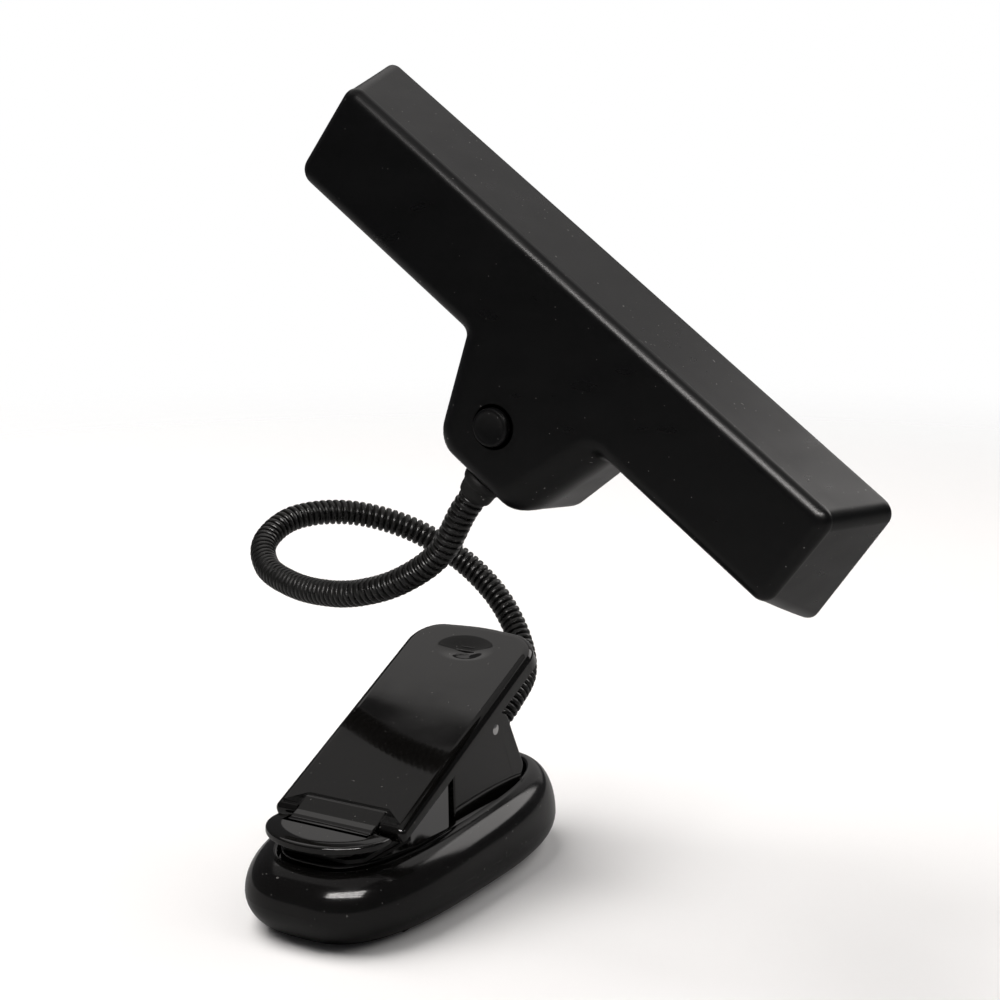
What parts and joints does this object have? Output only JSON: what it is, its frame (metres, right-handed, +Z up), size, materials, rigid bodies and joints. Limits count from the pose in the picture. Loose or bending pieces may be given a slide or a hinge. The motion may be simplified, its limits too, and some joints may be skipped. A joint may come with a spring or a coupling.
{
  "type": "clip-on reading lamp",
  "caption": "Clip-on reading lamp with a battery base, spring clip, swivel jaw, gooseneck and a wide T-shaped LED head with a push switch.",
  "frame": {"origin": "centre of the flat underside of the base", "axes": "+Z up; X across the clip; -Y is the clip mouth and +Y its thumb end, along the length of the base"},
  "size_m": [0.1847, 0.1204, 0.2014],
  "materials": {
    "satin_black": "fine satin moulded ABS",
    "gloss_black": "polished moulded ABS",
    "rubber_black": "matte",
    "neck_steel": "black oxide, satin",
    "lead_jacket": "smooth insulation",
    "bright_steel": "bright plated",
    "spring_steel": "drawn wire",
    "cell_jacket": "plain printed foil",
    "clear_lens": "clear polished acrylic",
    "reflector_white": "white",
    "board_green": "white solder mask",
    "led_lens": "clear epoxy with a warm phosphor"
  },
  "bodies": {
    "base": {"base_lower_shell": "satin_black", "base_upper_shell": "satin_black", "battery_door": "satin_black", "battery_door_screw": "bright_steel", "power_inlet": "bright_steel", "base_screw_front": "bright_steel", "base_screw_rear": "bright_steel", "battery_1": "cell_jacket", "battery_2": "cell_jacket", "battery_3": "cell_jacket", "battery_contact_front": "bright_steel", "battery_contact_rear": "bright_steel", "clip_lower_jaw": "gloss_black", "lower_grip_pad": "rubber_black", "clip_pivot_pin": "bright_steel", "clip_spring": "spring_steel", "neck_segment_0": "neck_steel", "neck_lead_0": "lead_jacket", "neck_socket": "neck_steel"},
    "clip_arm": {"clip_lever": "gloss_black", "jaw_tip_pin": "bright_steel"},
    "swivel_tip": {"jaw_tip": "gloss_black", "upper_grip_pad": "rubber_black"},
    "neck_link_1": {"neck_segment_1": "neck_steel", "neck_lead_1": "lead_jacket"},
    "neck_link_2": {"neck_segment_2": "neck_steel", "neck_lead_2": "lead_jacket"},
    "neck_link_3": {"neck_segment_3": "neck_steel", "neck_lead_3": "lead_jacket"},
    "neck_link_4": {"neck_segment_4": "neck_steel", "neck_lead_4": "lead_jacket"},
    "neck_link_5": {"neck_segment_5": "neck_steel", "neck_lead_5": "lead_jacket"},
    "neck_link_6": {"neck_segment_6": "neck_steel", "neck_lead_6": "lead_jacket"},
    "head": {"neck_segment_7": "neck_steel", "neck_lead_7": "lead_jacket", "head_housing": "satin_black", "head_bezel": "satin_black", "diffuser_lens": "clear_lens", "reflector": "reflector_white", "led_board": "board_green", "led_1": "led_lens", "led_2": "led_lens", "led_3": "led_lens", "led_4": "led_lens", "led_5": "led_lens", "led_6": "led_lens", "led_7": "led_lens", "led_8": "led_lens", "led_9": "led_lens", "head_screw_left": "bright_steel", "head_screw_right": "bright_steel", "switch_body": "rubber_black", "neck_collar": "neck_steel", "collar_nut": "bright_steel"},
    "button": {"push_button": "satin_black"}
  },
  "joints": [
    {"name": "clip_pivot", "type": "hinge", "parent": "base", "child": "clip_arm", "pos_m": [0, 0.0162, 0.0373], "axis": [-1, 0, 0], "range_deg": [0, 18], "stiffness_Nm_per_rad": 0.5, "springref_deg": -40.11, "deforming": ["clip_spring"]},
    {"name": "jaw_tip_pivot", "type": "hinge", "parent": "clip_arm", "child": "swivel_tip", "pos_m": [0, -0.02831, 0.025], "axis": [-1, 0, 0], "range_deg": [-2.5, 12]},
    {"name": "neck_bend_1", "type": "hinge", "parent": "base", "child": "neck_link_1", "pos_m": [0.00323, 0.03866, 0.03143], "axis": [-0.9754, 0.2204, 0], "range_deg": [-15, 15]},
    {"name": "neck_bend_2", "type": "hinge", "parent": "neck_link_1", "child": "neck_link_2", "pos_m": [-0.00685, 0.06417, 0.05111], "axis": [-0.6399, 0.3104, -0.7029], "range_deg": [-15, 15]},
    {"name": "neck_bend_3", "type": "hinge", "parent": "neck_link_2", "child": "neck_link_3", "pos_m": [-0.03485, 0.06416, 0.07237], "axis": [0.3583, -0.9336, 0], "range_deg": [-15, 15]},
    {"name": "neck_bend_4", "type": "hinge", "parent": "neck_link_3", "child": "neck_link_4", "pos_m": [-0.06127, 0.04271, 0.07969], "axis": [0.0458, 0.0804, -0.9957], "range_deg": [-15, 15]},
    {"name": "neck_bend_5", "type": "hinge", "parent": "neck_link_4", "child": "neck_link_5", "pos_m": [-0.05086, 0.01507, 0.06922], "axis": [0.4387, 0.8987, 0], "range_deg": [-15, 15]},
    {"name": "neck_bend_6", "type": "hinge", "parent": "neck_link_5", "child": "neck_link_6", "pos_m": [-0.01721, 0.0034, 0.07109], "axis": [0.2332, -0.0417, -0.9715], "range_deg": [-15, 15]},
    {"name": "neck_bend_7", "type": "hinge", "parent": "neck_link_6", "child": "head", "pos_m": [0.01208, 0.00292, 0.08993], "axis": [-0.1901, -0.9818, 0], "range_deg": [-15, 15]},
    {"name": "button_press", "type": "slide", "parent": "head", "child": "button", "axis": [0, 1, 0], "range_m": [0, 0.0012], "stiffness_N_per_m": 700, "springref_m": -0.0008}
  ]
}
